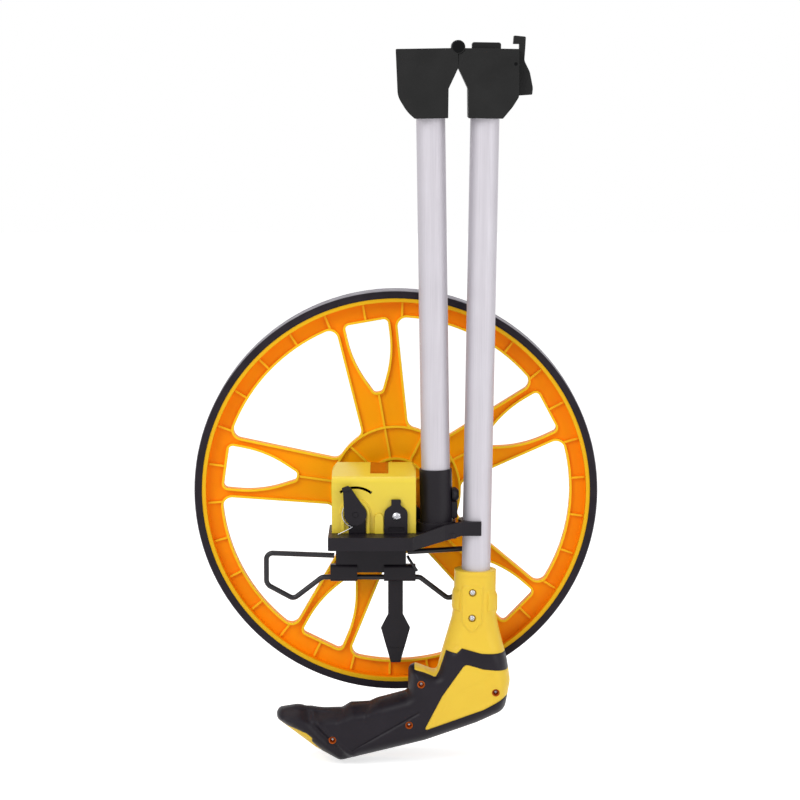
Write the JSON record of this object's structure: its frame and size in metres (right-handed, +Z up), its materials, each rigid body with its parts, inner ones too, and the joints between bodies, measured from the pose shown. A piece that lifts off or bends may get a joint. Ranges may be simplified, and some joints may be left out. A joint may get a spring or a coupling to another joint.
{
  "type": "measuring wheel",
  "caption": "Folding measuring wheel: a spoked wheel with a gear-driven counter, reset lever and pointer, a hinged tube with a latch, a wire stand and a shaped grip.",
  "frame": {"origin": "the point of the tyre's tread straight below the axle, in the wheel's middle plane", "axes": "+Z up along the folded tubes, +Y along the axle from the counter towards the far side of the wheel, +X to the right seen from the counter"},
  "size_m": [0.3184, 0.101, 0.5656],
  "materials": {
    "tyre_rubber": "moulded black rubber, fine grooves round the tread",
    "wheel_plastic": "moulded orange plastic with lighter raised lips",
    "black_steel": "blackened steel pins",
    "bright_steel": "zinc plated steel",
    "tube_aluminium": "satin drawn tube",
    "black_plastic": "fine spark texture",
    "hinge_plastic": "satin moulded",
    "case_plastic": "moulded yellow plastic",
    "grip_plastic": "moulded yellow plastic",
    "grip_rubber": "soft overmoulded rubber",
    "window_plastic": "clear polished plastic",
    "drum_plastic": "white number drums",
    "stand_wire": "black coated spring wire"
  },
  "bodies": {
    "chassis": {"back_plate": "black_plastic", "axle_bolt": "bright_steel", "axle_nut": "bright_steel", "axle_bracket": "black_plastic", "drum_shaft": "bright_steel", "counter_cover": "case_plastic", "counter_window": "window_plastic", "base_plate": "black_plastic", "cover_bracket": "black_plastic", "cover_screw": "bright_steel", "lever_post": "black_plastic", "lever_spring": "bright_steel", "tube_socket": "black_plastic", "socket_knob": "black_plastic", "lower_tube": "tube_aluminium", "lower_hinge_housing": "hinge_plastic", "hinge_pin": "black_steel", "stand_bracket": "black_plastic", "pointer": "black_plastic"},
    "wheel": {"wheel_moulding": "wheel_plastic", "tyre": "tyre_rubber", "bearing_front": "bright_steel", "bearing_back": "bright_steel", "hub_gear": "black_plastic"},
    "drum_1": {"drum_1": "drum_plastic"},
    "drum_2": {"drum_2": "drum_plastic"},
    "drum_3": {"drum_3": "drum_plastic"},
    "drum_4": {"drum_4": "drum_plastic"},
    "drum_5": {"drum_5": "drum_plastic"},
    "reset_lever": {"reset_lever": "black_plastic"},
    "stand": {"wire_stand": "stand_wire"},
    "upper_arm": {"upper_tube": "tube_aluminium", "upper_hinge_housing": "hinge_plastic", "latch_pin": "black_steel", "latch_spring": "bright_steel", "grip_shell_front": "grip_plastic", "grip_shell_back": "grip_plastic", "grip_overmould_front": "grip_rubber", "grip_overmould_back": "grip_rubber", "grip_end_piece": "grip_plastic", "collar_screws": "bright_steel", "grip_screws": "bright_steel"},
    "latch": {"latch_lever": "hinge_plastic"}
  },
  "joints": [
    {"name": "wheel_spin", "type": "hinge", "parent": "chassis", "child": "wheel", "pos_m": [0, 0, 0.15915], "axis": [0, 1, 0], "continuous": true},
    {"name": "drum_1_turn", "type": "hinge", "parent": "chassis", "child": "drum_1", "pos_m": [-0.0128, -0.045, 0.16698], "axis": [0, 1, 0], "continuous": true},
    {"name": "drum_2_turn", "type": "hinge", "parent": "chassis", "child": "drum_2", "pos_m": [-0.0128, -0.045, 0.16698], "axis": [0, 1, 0], "continuous": true},
    {"name": "drum_3_turn", "type": "hinge", "parent": "chassis", "child": "drum_3", "pos_m": [-0.0128, -0.045, 0.16698], "axis": [0, 1, 0], "continuous": true},
    {"name": "drum_4_turn", "type": "hinge", "parent": "chassis", "child": "drum_4", "pos_m": [-0.0128, -0.045, 0.16698], "axis": [0, 1, 0], "continuous": true},
    {"name": "drum_5_turn", "type": "hinge", "parent": "chassis", "child": "drum_5", "pos_m": [-0.0128, -0.045, 0.16698], "axis": [0, 1, 0], "continuous": true},
    {"name": "reset_lever_turn", "type": "hinge", "parent": "chassis", "child": "reset_lever", "pos_m": [-0.0311, -0.065, 0.15016], "axis": [0, 1, 0], "range_deg": [0, 52], "stiffness_Nm_per_rad": 0.01},
    {"name": "stand_pivot", "type": "hinge", "parent": "chassis", "child": "stand", "pos_m": [-0.0196, -0.024, 0.09305], "axis": [1, 0, 0], "range_deg": [-12, 12]},
    {"name": "fold_hinge", "type": "hinge", "parent": "chassis", "child": "upper_arm", "pos_m": [0.0473, -0.045, 0.50706], "axis": [0, -1, 0], "range_deg": [0, 181.79]},
    {"name": "latch_pivot", "type": "hinge", "parent": "upper_arm", "child": "latch", "pos_m": [0.09071, -0.045, 0.49428], "axis": [0, 1, 0], "range_deg": [-4, 15], "stiffness_Nm_per_rad": 0.05}
  ],
  "couplings": [
    {"joint": "drum_1_turn", "follows": "wheel_spin", "ratio": -1},
    {"joint": "drum_2_turn", "follows": "wheel_spin", "ratio": -0.1},
    {"joint": "drum_3_turn", "follows": "wheel_spin", "ratio": -0.01},
    {"joint": "drum_4_turn", "follows": "wheel_spin", "ratio": -0.001},
    {"joint": "drum_5_turn", "follows": "wheel_spin", "ratio": -0.0001}
  ]
}
